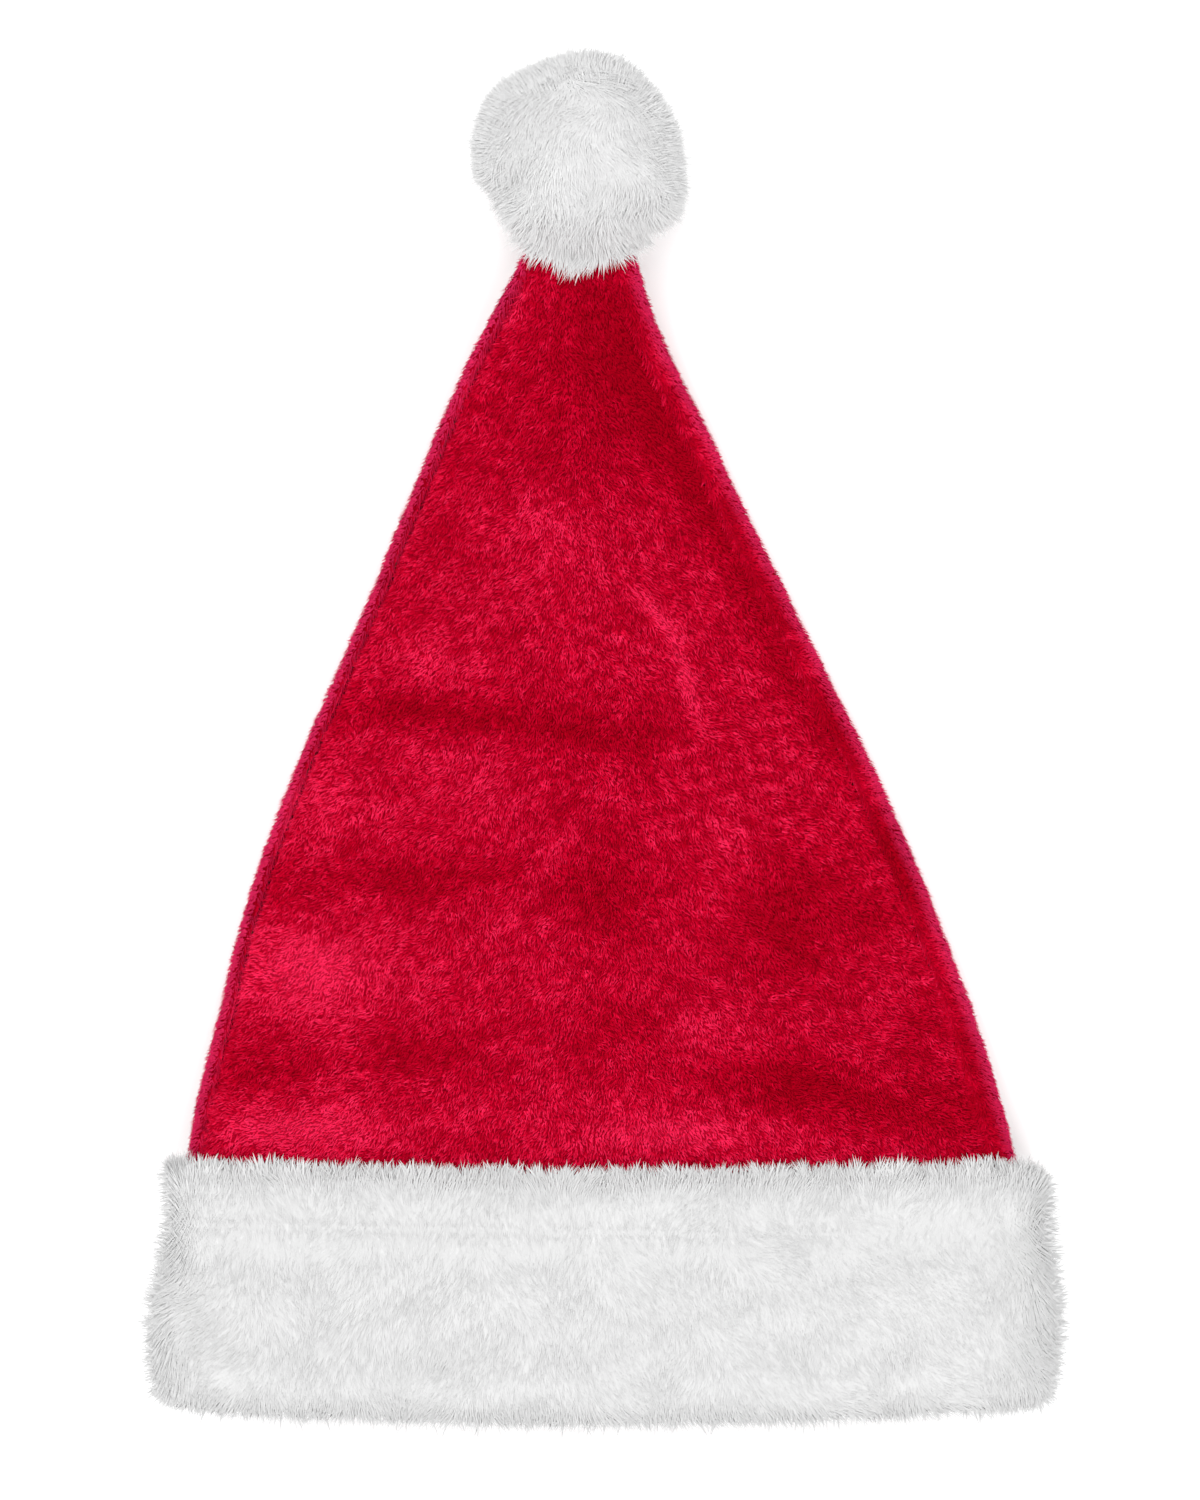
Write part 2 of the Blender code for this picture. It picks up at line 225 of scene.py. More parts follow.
def red_at(shade):
    """The plush red from deep at -1 through middle at 0 to light at 1, as rows of RGB."""
    stops = np.array((RED_DEEP, RED_MIDDLE, RED_LIGHT))
    level = np.clip(shade, -SHADE_LIMIT, SHADE_LIMIT)
    return np.stack([np.interp(level, (-1.0, 0.0, 1.0), stops[:, i]) for i in range(3)], axis=1)


def paint(mesh, colours):
    """Stores one colour per vertex for the materials to read."""
    layer = mesh.color_attributes.new("pile_colour", "FLOAT_COLOR", "POINT")
    rgba = np.ones((len(mesh.vertices), 4), np.float32)
    rgba[:, :3] = colours
    layer.data.foreach_set("color", rgba.ravel())


def add_node(tree, kind, inputs=None, **settings):
    """A new shader node with its inputs and settings filled in."""
    node = tree.nodes.new(kind)
    for name, value in settings.items():
        setattr(node, name, value)
    for name, value in (inputs or {}).items():
        node.inputs[name].default_value = value
    return node


def painted_finish(name, roughness, gloss, sheen, sheen_tint, grain_size, grain, bump_height):
    """A fibre finish that takes its colour from the mesh, with fine fibre grain and relief."""
    material = bpy.data.materials.new(name)
    material.use_nodes = True
    tree = material.node_tree
    shader = tree.nodes["Principled BSDF"]
    shader.inputs["Roughness"].default_value = roughness
    shader.inputs["Specular IOR Level"].default_value = gloss
    shader.inputs["Sheen Weight"].default_value = sheen
    shader.inputs["Sheen Roughness"].default_value = 0.45
    shader.inputs["Sheen Tint"].default_value = sheen_tint
    colour = add_node(tree, "ShaderNodeAttribute", attribute_name="pile_colour")
    place = add_node(tree, "ShaderNodeTexCoord")
    fibres = add_node(tree, "ShaderNodeTexNoise", {"Scale": 1 / grain_size, "Detail": 3.0})
    spread = {"From Min": 0.3, "From Max": 0.7, "To Min": 1 - grain, "To Max": 1 + grain}
    level = add_node(tree, "ShaderNodeMapRange", spread)
    grained = add_node(tree, "ShaderNodeVectorMath", operation="SCALE")
    relief = add_node(tree, "ShaderNodeBump", {"Strength": 0.6, "Distance": bump_height})
    tree.links.new(place.outputs["Object"], fibres.inputs["Vector"])
    tree.links.new(fibres.outputs["Fac"], level.inputs["Value"])
    tree.links.new(colour.outputs["Color"], grained.inputs["Vector"])
    tree.links.new(level.outputs["Result"], grained.inputs["Scale"])
    tree.links.new(grained.outputs["Vector"], shader.inputs["Base Color"])
    tree.links.new(fibres.outputs["Fac"], relief.inputs["Height"])
    tree.links.new(relief.outputs["Normal"], shader.inputs["Normal"])
    return material


def knit_backing():
    """The knitted back of the plush: fine upright wales crossed by its courses."""
    material = bpy.data.materials.new("knit_backing")
    material.use_nodes = True
    tree = material.node_tree
    shader = tree.nodes["Principled BSDF"]
    shader.inputs["Roughness"].default_value = 0.9
    shader.inputs["Specular IOR Level"].default_value = 0.05
    shader.inputs["Sheen Weight"].default_value = 0.1
    shader.inputs["Sheen Roughness"].default_value = 0.5
    place = add_node(tree, "ShaderNodeTexCoord")
    wale_scale = WAVE_SPACING / KNIT_WALE
    wales = add_node(tree, "ShaderNodeTexWave", {"Scale": wale_scale, "Distortion": 0.6})
    courses = add_node(
        tree,
        "ShaderNodeTexWave",
        {"Scale": wale_scale / COURSES_TO_WALES, "Distortion": 0.8},
        bands_direction="Y",
    )
    knit = add_node(tree, "ShaderNodeMath", operation="MULTIPLY")
    # Painted shade: the knit is darker in its valleys
    tone = add_node(tree, "ShaderNodeMix", data_type="RGBA")
    tone.inputs["A"].default_value = (*(KNIT_VALLEY_SHADE * c for c in RED_BACKING), 1.0)
    tone.inputs["B"].default_value = (*RED_BACKING, 1.0)
    relief = add_node(tree, "ShaderNodeBump", {"Strength": 0.7, "Distance": KNIT_RELIEF})
    tree.links.new(place.outputs["Object"], wales.inputs["Vector"])
    tree.links.new(place.outputs["Object"], courses.inputs["Vector"])
    tree.links.new(wales.outputs["Fac"], knit.inputs[0])
    tree.links.new(courses.outputs["Fac"], knit.inputs[1])
    tree.links.new(knit.outputs["Value"], tone.inputs["Factor"])
    tree.links.new(knit.outputs["Value"], relief.inputs["Height"])
    tree.links.new(tone.outputs["Result"], shader.inputs["Base Color"])
    tree.links.new(relief.outputs["Normal"], shader.inputs["Normal"])
    return material


CrownSections = namedtuple("CrownSections", "y left right low high")


def measured_sections(bm):
    """The crown's extent at each of the sections that its CAD surface runs through."""
    places = np.array([v.co for v in bm.verts])
    places = places[np.argsort(places[:, 1])]
    groups = np.split(places, np.flatnonzero(np.diff(places[:, 1]) > SECTION_GAP) + 1)
    return CrownSections(
        np.array([group[:, 1].mean() for group in groups]),
        np.array([group[:, 0].min() for group in groups]),
        np.array([group[:, 0].max() for group in groups]),
        np.array([group[:, 2].min() for group in groups]),
        np.array([group[:, 2].max() for group in groups]),
    )


def crown_extent(y):
    """The crown's left, right, low and high sides at these places along it."""
    sides = (crown_sections.left, crown_sections.right, crown_sections.low, crown_sections.high)
    return [np.interp(y, crown_sections.y, side) for side in sides]


both_panels = merged("crown_front_panel", "crown_back_panel")
crown_surface = BVHTree.FromBMesh(both_panels)
crown_sections = measured_sections(both_panels)
both_panels.free()
panel_surfaces = {}
for panel_node in ("crown_front_panel", "crown_back_panel"):
    panel_bm = merged(panel_node)
    panel_surfaces[panel_node] = BVHTree.FromBMesh(panel_bm)
    panel_bm.free()


def away_from_middle(places):
    """Directions away from the crown's flat middle: up or down on its runs, round its rolls."""
    left, right, low, high = crown_extent(places[:, 1])
    roll = np.minimum(CROWN_ROLL, CROWN_ROLL_SHARE * (right - left))
    away = np.zeros_like(places)
    away[:, 0] = places[:, 0] - np.clip(places[:, 0], left + roll, right - roll)
    away[:, 2] = places[:, 2] - (low + high) / 2
    return unit(away)


def over_seam(points, other_panel):
    """The way from each point to the panel across its seam, and how near the seam it is."""
    ways = np.zeros_like(points)
    room = np.full(len(points), SEAM_REACH)
    surface = panel_surfaces[other_panel]
    for i, point in enumerate(points):
        place, _, _, distance = surface.find_nearest(Vector(point), SEAM_REACH)
        if place is not None:
            ways[i] = place - Vector(point)
            room[i] = distance
    return unit(ways), 1 - smooth_step(room, SEAM_AT, SEAM_REACH)


def crown_cloth(node, name, other_panel, shade_of, plush, backing):
    """One panel's cloth, its outer side set back by the pile that stands on it."""
    made = smoothed(merged(node), name, CLOTH_FINENESS)
    mesh = made.data
    places, normals = places_of(mesh)
    away = away_from_middle(places)
    outer = (away * normals).sum(axis=1) > SEAM_SHOULDER
    uneven = patchy(places, CLOTH_UNEVENNESS)
    set_places(mesh, places - away * ((PILE_DEPTH + uneven) * outer)[:, None])
    across_seam, at_seam = over_seam(places, other_panel)
    # Painted shade on the ground under the pile, and painted light at the seams against the shade in
    # their gaps
    tone = GROUND_SHADE_TONE + (1 - GROUND_SHADE_TONE) * at_seam
    shade = shade_of(places) + GROUND_SHADE + SEAM_PAINTED_LIGHT * at_seam
    paint(mesh, tone[:, None] * red_at(shade))
    mesh.materials.append(plush)
    mesh.materials.append(backing)
    for face in mesh.polygons:
        face.material_index = 0 if any(outer[i] for i in face.vertices) else 1
    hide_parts(node)
    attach(made, "root")
    return made, outer


PINK_SHEEN = (1.0, 0.03, 0.16, 1.0)
plush_ground = painted_finish("plush_ground", 0.9, 0.0, 0.10, PINK_SHEEN, 0.0009, 0.35, 0.0006)
backing = knit_backing()
front_cloth, front_outer = crown_cloth(
    "crown_front_panel", "crown_front_cloth", "crown_back_panel", nap_shade, plush_ground, backing
)

# Front panel's pile
# Cut polyester pile about 3 mm deep that stands on the knit. It lies down towards the cuff and
# fans out to both sides, and handling has stroked its nap into patches, whose darker and lighter
# look is painted into its colour as shade and sheen.
CROWN_PILE_FROM = -0.1500
CROWN_PILE_TO = 0.1850
PileKind = namedtuple("PileKind", "count length width lift shade seed")
# No pile grows on the panels' cut ends, which face along the hat by at least this cosine
CUT_END = 0.95
# The underpile is painted darker than the top pile, as shade beneath it
FRONT_UNDERPILE = PileKind(44000, 0.0018, 0.00080, 34, -0.25, 11)
FRONT_TOP_PILE = PileKind(48000, 0.0020, 0.00062, 30, 0.15, 12)
# The pile over the rolled sides stands out towards the light, and is painted paler as its sheen
EDGE_SHEEN_WITHIN = 0.0010
EDGE_SHEEN_UP_TO = 0.0070
EDGE_SHEEN_SHARE = 0.9
# Painted shade of shallow valleys beside the two seams: how far in they lie, their reach and their
# darkness
Valley = namedtuple("Valley", "inset reach depth")
LEFT_VALLEY_SHADE = Valley(0.0050, 0.0020, 0.35)
RIGHT_VALLEY_SHADE = Valley(0.0090, 0.0035, 0.50)
# From above, the pile fans out beside the crown's middle, and further at its edges
FAN = radians(36)
FAN_QUICKNESS = 2.4
FAN_AT_EDGES = radians(24)
WHORLS = (Patches(radians(16), 0.024, 21), Patches(radians(20), 0.0065, 22))
PILE_HEADING_SPREAD = radians(14)
LIFT_PATCHES = Patches(0.30, 0.0055, 23)
LIFT_WITH_NAP = 0.25
PILE_LIFT_SPREAD = radians(6)
PILE_LIFT_LIMITS = (radians(8), radians(75))
PILE_LENGTHS = (0.75, 1.25)
PILE_WIDTHS = (0.8, 1.25)
# At the seams the pile stands off the cloth's middle, leans across, and is longer and wider
SEAM_STAND = 3
SEAM_LEAN = 1.3
SEAM_LENGTHENING = 0.3
SEAM_WIDENING = 0.5
# The colour's own patches, the last of them drawn out across the hat
BLOTCHES = (Patches(0.20, 0.0060, 24), Patches(0.14, 0.0026, 25))
LONG_BLOTCHES = Patches(0.18, 0.0070, 26)
LONG_BLOTCH_STRETCH = (0.30, 1, 1)
NAP_SHADE_STRENGTH = 1.1
TUFT_SPREAD = 0.16
# Each tuft is painted darker at its root and lighter at its tip, as shade deep in the pile and light
# on its tips, and more so where the nap looks lighter
TUFT_SHADE_AND_LIGHT = 0.28
SHADE_AND_LIGHT_WITH_NAP = 0.20
# The two steps of an additive sequence, which fills a triangle evenly
EVEN_STEPS = (0.7548776662, 0.5698402910)


def scattered(mesh, kept, count, seed):
    """Evenly scattered points on the kept stretch of a surface, with its normals there."""
    mesh.calc_loop_triangles()
    corners = np.empty(len(mesh.loop_triangles) * 3, np.int32)
    mesh.loop_triangles.foreach_get("vertices", corners)
    corners = corners.reshape(-1, 3)
    corners = corners[kept[corners].all(axis=1)]
    places, normals = places_of(mesh)
    a, b, c = (places[corners[:, i]] for i in range(3))
    areas = np.linalg.norm(np.cross(b - a, c - a), axis=1)
    filled = np.cumsum(areas) / areas.sum()
    rng = np.random.default_rng(seed)
    steps = np.arange(count)
    chosen = np.searchsorted(filled, (steps + rng.random(count)) / count)
    chosen = np.minimum(chosen, len(corners) - 1)
    u = (EVEN_STEPS[0] * steps + rng.random()) % 1
    v = (EVEN_STEPS[1] * steps + rng.random()) % 1
    past = u + v > 1
    u, v = np.where(past, 1 - u, u), np.where(past, 1 - v, v)
    shares = np.stack((1 - u - v, u, v), axis=1)
    roots = sum(places[corners[chosen, i]] * shares[:, i, None] for i in range(3))
    ups = unit(sum(normals[corners[chosen, i]] * shares[:, i, None] for i in range(3)))
    return roots, ups


def laid(ups, heading, lift, sinking=0.0):
    """Directions along the heading and down by its sinking share, lifted off the surface."""
    fall = np.zeros(len(heading)) - sinking
    flat = np.stack((np.cos(heading), np.sin(heading), fall), axis=1)
    flat = unit(flat - ups * (flat * ups).sum(axis=1)[:, None])
    return flat * np.cos(lift)[:, None] + ups * np.sin(lift)[:, None]


# A strand's left, right and top point and its tip, in its cell of the bake's map
STRAND_SPOTS = ((0.08, 0.08), (0.92, 0.08), (0.50, 0.22), (0.50, 0.92))
STRAND_TOP = ((0, 2, 3), (2, 1, 3))
STRAND_BELOW = ((0, 1, 2), (1, 0, 3))
STRAND_FLATNESS = 0.16
# How far a strand's shading turns to each side of its top, and along the strand at its tip
STRAND_ROUNDNESS = 0.7
TIP_ALONG = 0.5
# A level strand's broad side still follows the surface by this share
LEVEL_TILT = 0.2
TABLE_CLEARANCE = 0.0002
# How far the strands' shading follows the surface below instead of each strand, and how much
# it is turned up to the light, as fine fibres scatter it
Shading = namedtuple("Shading", "softness glow")
# The glow fades out from the higher of these upward shares of the surface to the lower one
GLOW_SHARES = (-0.7, 0.3)
RED_SHADING = Shading(0.55, 0.6)


def strands(name, material, shading, roots, ups, ways, lengths, widths, colours_from_to, level=None):
    """Tapered closed strands in one mesh, with colours from their roots to their tips.

    Those that are level have their broad side up, the others have it on the surface below.
    """
    root_colours, tip_colours = colours_from_to
    count = len(roots)
    softness = shading.softness
    lit = unit(ups + np.array((0, 0, shading.glow)) * smooth_step(ups[:, 2:], *GLOW_SHARES))
    flats = ups
    if level is not None:
        flats = np.where(level[:, None], unit(LEVEL_TILT * ups + (0, 0, 1)), ups)
    side = unit(np.cross(ways, flats))
    above = unit(np.cross(side, ways))
    half = side * (widths / 2)[:, None]
    top = roots + above * (widths * STRAND_FLATNESS)[:, None]
    points = (roots - half, roots + half, top, roots + ways * lengths[:, None])
    leans = (above - STRAND_ROUNDNESS * side, above + STRAND_ROUNDNESS * side, above)
    normals = [unit((1 - softness) * unit(lean) + softness * lit) for lean in leans]
    normals.append(unit((1 - softness) * TIP_ALONG * ways + lit))
    under = [-above] * 4
    corner_normals = np.concatenate(
        (
            np.stack(normals, axis=1)[:, np.array(STRAND_TOP)],
            np.stack(under, axis=1)[:, np.array(STRAND_BELOW)],
        ),
        axis=1,
    )
    faces = np.array(STRAND_TOP + STRAND_BELOW)
    corners = (np.arange(count) * 4)[:, None, None] + faces[None]
    mesh = bpy.data.meshes.new(name)
    places = np.stack(points, axis=1)
    places[:, :, 2] = np.maximum(places[:, :, 2], TABLE_CLEARANCE)
    mesh.from_pydata(places.reshape(-1, 3), [], corners.reshape(-1, 3).tolist())
    mesh.shade_smooth()
    colours = (root_colours, root_colours, root_colours, tip_colours)
    paint(mesh, np.stack(colours, axis=1).reshape(-1, 3))
    # Each strand has a cell of its own on the bake's map
    across = int(np.ceil(np.sqrt(count)))
    cell = np.stack((np.arange(count) % across, np.arange(count) // across), axis=1)
    spots = (cell[:, None, :] + np.array(STRAND_SPOTS)[None]) / across
    layer = mesh.uv_layers.new(name="OFBake")
    layer.uv.foreach_set("vector", spots.reshape(-1, 2)[corners.ravel()].astype(np.float32).ravel())
    mesh.normals_split_custom_set(corner_normals.reshape(-1, 3))
    mesh.materials.append(material)
    made = bpy.data.objects.new(name, mesh)
    bpy.context.scene.collection.objects.link(made)
    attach(made, "root")
    return made


def crown_across(points):
    """Where each point lies across the crown, from -1 at the left edge to 1 at the right."""
    left, right, _, _ = crown_extent(points[:, 1])
    return np.clip(2 * (points[:, 0] - left) / (right - left) - 1, -1, 1)


def to_crown_edge(points):
    """How far each point lies inside the crown's outline from above."""
    left, right, _, _ = crown_extent(points[:, 1])
    return np.minimum(points[:, 0] - left, right - points[:, 0])


def seam_valley_shade(points):
    """How much painted shade of the shallow valleys beside the two seams lies at each point."""
    left, right, _, _ = crown_extent(points[:, 1])
    sides = ((points[:, 0] - left, LEFT_VALLEY_SHADE), (right - points[:, 0], RIGHT_VALLEY_SHADE))
    return sum(
        valley.depth * np.exp(-(((inside - valley.inset) / valley.reach) ** 2))
        for inside, valley in sides
    )


def with_edge_sheen(colours, share):
    """The colours blended towards the pale red painted on the crown's edges as their sheen."""
    return colours + (np.array(RED_EDGE_SHEEN) - colours) * share[:, None]


def crown_pile(name, cloth, outer, other_panel, kind, shade_of, finish):
    """Pile on one panel: short tapered tufts laid down the crown and out to its sides."""
    places, normals = places_of(cloth.data)
    kept = outer & (places[:, 1] > CROWN_PILE_FROM) & (places[:, 1] < CROWN_PILE_TO)
    kept &= np.abs(normals[:, 1]) < CUT_END
    roots, ups = scattered(cloth.data, kept, kind.count, kind.seed)
    # At the seams the pile stands as on the cloth beside them, and leans over to close them
    across_seam, at_seam = over_seam(roots, other_panel)
    ups = unit(ups + SEAM_STAND * at_seam[:, None] * away_from_middle(roots))
    rng = np.random.default_rng(kind.seed)
    across = crown_across(roots)
    fan = FAN * np.tanh(FAN_QUICKNESS * across) + FAN_AT_EDGES * across**3
    jitter = rng.normal(0, PILE_HEADING_SPREAD, len(roots))
    heading = -pi / 2 + fan + patchy(roots, *WHORLS) + jitter
    nap = shade_of(roots)
    lift = radians(kind.lift) * (1 + patchy(roots, LIFT_PATCHES) + LIFT_WITH_NAP * nap)
    lift = np.clip(lift + rng.normal(0, PILE_LIFT_SPREAD, len(roots)), *PILE_LIFT_LIMITS)
    ways = unit(laid(ups, heading, lift) + SEAM_LEAN * at_seam[:, None] * across_seam)
    lengths = kind.length * rng.uniform(*PILE_LENGTHS, len(roots))
    lengths *= 1 + SEAM_LENGTHENING * at_seam
    widths = kind.width * rng.uniform(*PILE_WIDTHS, len(roots)) * (1 + SEAM_WIDENING * at_seam)
    blotch = patchy(roots, *BLOTCHES) + patchy(roots * LONG_BLOTCH_STRETCH, LONG_BLOTCHES)
    # Painted shade and sheen of the nap, with the colour's own patches and random tone
    shade = NAP_SHADE_STRENGTH * nap + blotch + rng.normal(0, TUFT_SPREAD, len(roots))
    shade += kind.shade
    # Painted shade along the valleys beside the seams
    shade -= seam_valley_shade(roots)
    # Painted sheen: the pile is paler near the crown's outline
    pale = EDGE_SHEEN_SHARE * (1 - smooth_step(to_crown_edge(roots), EDGE_SHEEN_WITHIN, EDGE_SHEEN_UP_TO))
    # Painted shade at the tufts' roots and light at their tips
    contrast = TUFT_SHADE_AND_LIGHT + SHADE_AND_LIGHT_WITH_NAP * np.clip(nap, -1, 1)
    colours = with_edge_sheen(red_at(shade - contrast), pale), with_edge_sheen(red_at(shade + contrast), pale)
    return strands(name, finish, RED_SHADING, roots, ups, ways, lengths, widths, colours)


plush_pile = painted_finish("plush_pile", 0.75, 0.0, 0.25, PINK_SHEEN, 0.0007, 0.22, 0.0001)
front_ground = (front_cloth, front_outer, "crown_back_panel")
front_underpile = crown_pile(
    "crown_front_underpile", *front_ground, FRONT_UNDERPILE, nap_shade, plush_pile
)
front_pile = crown_pile(
    "crown_front_pile", *front_ground, FRONT_TOP_PILE, nap_shade, plush_pile
)

# Back panel
# The lower panel of the same plush, which wraps up round both sides to the seams and lies on
# the table. Its pile is pressed flat underneath, and stands out along the sides.
FACING_TABLE = -0.45
BACK_NAP = Patches(0.45, 0.045, 31)
BACK_SIDE_PILE = PileKind(14000, 0.0022, 0.00078, 32, -0.10, 13)
BACK_TABLE_PILE = PileKind(8000, 0.0032, 0.00140, 14, -0.20, 14)


def back_shade(points):
    """The back's nap: only the uneven patches that any handled plush has."""
    return patchy(points, BACK_NAP)


back_cloth, back_outer = crown_cloth(
    "crown_back_panel", "crown_back_cloth", "crown_front_panel", back_shade, plush_ground, backing
)
back_places, back_normals = places_of(back_cloth.data)
on_table = back_normals[:, 2] < FACING_TABLE
side_ground = (back_cloth, back_outer & ~on_table, "crown_front_panel")
back_side_pile = crown_pile(
    "crown_back_side_pile", *side_ground, BACK_SIDE_PILE, back_shade, plush_pile
)
table_ground = (back_cloth, back_outer & on_table, "crown_front_panel")
back_table_pile = crown_pile(
    "crown_back_table_pile", *table_ground, BACK_TABLE_PILE, back_shade, plush_pile
)

# Cuff
# A band of deep white polyester pile, folded up over the mouth and sewn to it inside. Its fur
# stands up over the red at the top, lies down below the fold's crease, and sticks out at the sides.
CUFF_FINENESS = 2
CUFF_FUR_DEPTH = 0.0034
# The fur's depth grows from nothing to full over this room between the cuff and the crown
CUFF_FREE_FROM = 0.001
CUFF_FREE_AT = 0.008
# Its share of that depth on top, what the sides add, and what the table presses away
FUR_ON_TOP = 0.6
FUR_MORE_AT_SIDES = 0.8
FUR_PRESSED = 0.7
CUFF_UNEVENNESS = Patches(0.0003, 0.022, 44)
# The band's rounded corners start this far out, and reach their full after a further stretch
CUFF_CORNER_FROM = 0.120
CUFF_CORNER_REACH = 0.036
CORNER_BELOW = 0.6
# The skin ends this far inside the fur's edges above and below
CUFF_SHORT_ABOVE = 0.0030
CUFF_SHORT_BELOW = 0.0052
CUFF_TOP = -0.1455
# Where the fur parts along the fold, its slope across the band, and where it fades out
CUFF_PARTING = -0.1652
PARTING_SLOPE = -0.0135
PARTING_END = 0.083
PARTING_SPREAD = 0.014
PARTING_WIDTH = 0.0010
PARTING_LIFT = radians(12)
PARTING_SHORTENING = 0.65
# The parting is painted lighter by this much, as a highlight along its fine line
PARTING_HIGHLIGHT = 0.03
# The fur's roots are painted a shade darker than its tips, as shade deep in the fur
WHITE_ROOT = (0.566, 0.566, 0.566)
WHITE_TIP = (0.574, 0.574, 0.574)
BRIGHTEST_FUR = 0.97
WHITE_SHADING = Shading(1.0, 1.4)
FurKind = namedtuple("FurKind", "count length width seed")
CUFF_FRONT_FUR = FurKind(43500, 0.0064, 0.00052, 41)
CUFF_BACK_FUR = FurKind(21500, 0.0060, 0.00100, 42)
CUFF_SWIRLS = (Patches(radians(24), 0.030, 45), Patches(radians(9), 0.008, 46))
CUFF_HEADING_SPREAD = radians(10)
# How the fur fans out to the sides above the parting and below it, and its turn to the right
CUFF_UPPER_FAN = radians(10)
CUFF_UPPER_REACH = 0.08
CUFF_LOWER_FAN = radians(28)
CUFF_LOWER_REACH = 0.07
CUFF_LOWER_TURN = radians(12)
CUFF_LIFT = radians(3)
CUFF_SIDE_LIFT = radians(27)
CUFF_LIFT_PATCHES = Patches(radians(0.5), 0.009, 47)
CUFF_LIFT_SPREAD = radians(1)
CUFF_LIFT_LIMITS = (radians(2), radians(80))
CUFF_SINKING = 0.7
PRESSED_LIFT = 0.85
FUR_LENGTHS = (0.7, 1.25)
FUR_WIDTHS = (0.75, 1.25)
CUFF_TONE_PATCHES = Patches(0.008, 0.012, 48)
FUR_TONE_SPREAD = 0.005
# The fold below the parting takes more light than the fur round it, and painted shade holds its tone
# back
FOLD_AT = -0.1685
FOLD_REACH = 0.011
FOLD_PAINTED_SHADE = 0.072
# The band's left end and its sides are painted lighter, against the shade that falls where they turn
# away
LEFT_END_PAINTED_LIGHT = 0.05
SIDES_PAINTED_LIGHT = 0.10
TOP_BRIGHTER = 0.04
# Painted shade in the gaps between the locks below the band's top edge
TOP_GAP_PAINTED_SHADE = 0.30


def room_to_crown(places):
    """How far each point is from the crown's cloth."""
    return np.array([crown_surface.find_nearest(Vector(p))[3] for p in places])


def cuff_padding(ground):
    """The cuff's skin, set back from the outer form by the depth of the fur that stands on it."""
    made = smoothed(merged("fur_cuff"), "cuff_padding", CUFF_FINENESS)
    mesh = made.data
    places, normals = places_of(mesh)
    depth = CUFF_FUR_DEPTH * smooth_step(room_to_crown(places), CUFF_FREE_FROM, CUFF_FREE_AT)
    depth *= FUR_ON_TOP + FUR_MORE_AT_SIDES * normals[:, 0] ** 2
    depth *= 1 - FUR_PRESSED * smooth_step(-normals[:, 2], 0.6, 0.95)
    depth += patchy(places, CUFF_UNEVENNESS) * smooth_step(depth, 0.001, 0.003)
    places -= normals * depth[:, None]
    x, y = places[:, 0], places[:, 1]
    corner = np.clip((np.abs(x) - CUFF_CORNER_FROM) / CUFF_CORNER_REACH, 0, 1) ** 2
    short_above = CUFF_SHORT_ABOVE * smooth_step(y, -0.175, -0.150) * (1 + corner * (x > 0))
    short_below = CUFF_SHORT_BELOW * smooth_step(-y, 0.200, 0.236) * (1 + CORNER_BELOW * corner)
    places[:, 1] += short_below - short_above
    set_places(mesh, places)
    paint(mesh, np.full((len(places), 3), WHITE_ROOT))
    mesh.materials.append(ground)
    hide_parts("fur_cuff")
    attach(made, "root")
    return made


COOL_SHEEN = (1.0, 1.0, 1.0, 1.0)
white_ground = painted_finish("white_fur_ground", 0.9, 0.0, 0.0, COOL_SHEEN, 0.0016, 0.03, 0.0002)
white_fur = painted_finish("white_fur", 0.8, 0.0, 0.0, COOL_SHEEN, 0.0010, 0.01, 0.0001)
padding = cuff_padding(white_ground)


def past_parting(roots):
    """How far each point lies above the line where the fur parts."""
    return roots[:, 1] - CUFF_PARTING - PARTING_SLOPE * roots[:, 0]


def cuff_heading(roots, rng):
    """Up over the red above the parting, down and to the right below it, outward at the sides."""
    above = smooth_step(past_parting(roots), -PARTING_SPREAD, PARTING_SPREAD)
    upward = pi / 2 - CUFF_UPPER_FAN * np.tanh(roots[:, 0] / CUFF_UPPER_REACH)
    downward = -pi / 2 + CUFF_LOWER_FAN * np.tanh(roots[:, 0] / CUFF_LOWER_REACH) + CUFF_LOWER_TURN
    mixed = np.where(rng.random(len(roots)) < above, upward, downward)
    return mixed + patchy(roots, *CUFF_SWIRLS) + rng.normal(0, CUFF_HEADING_SPREAD, len(roots))


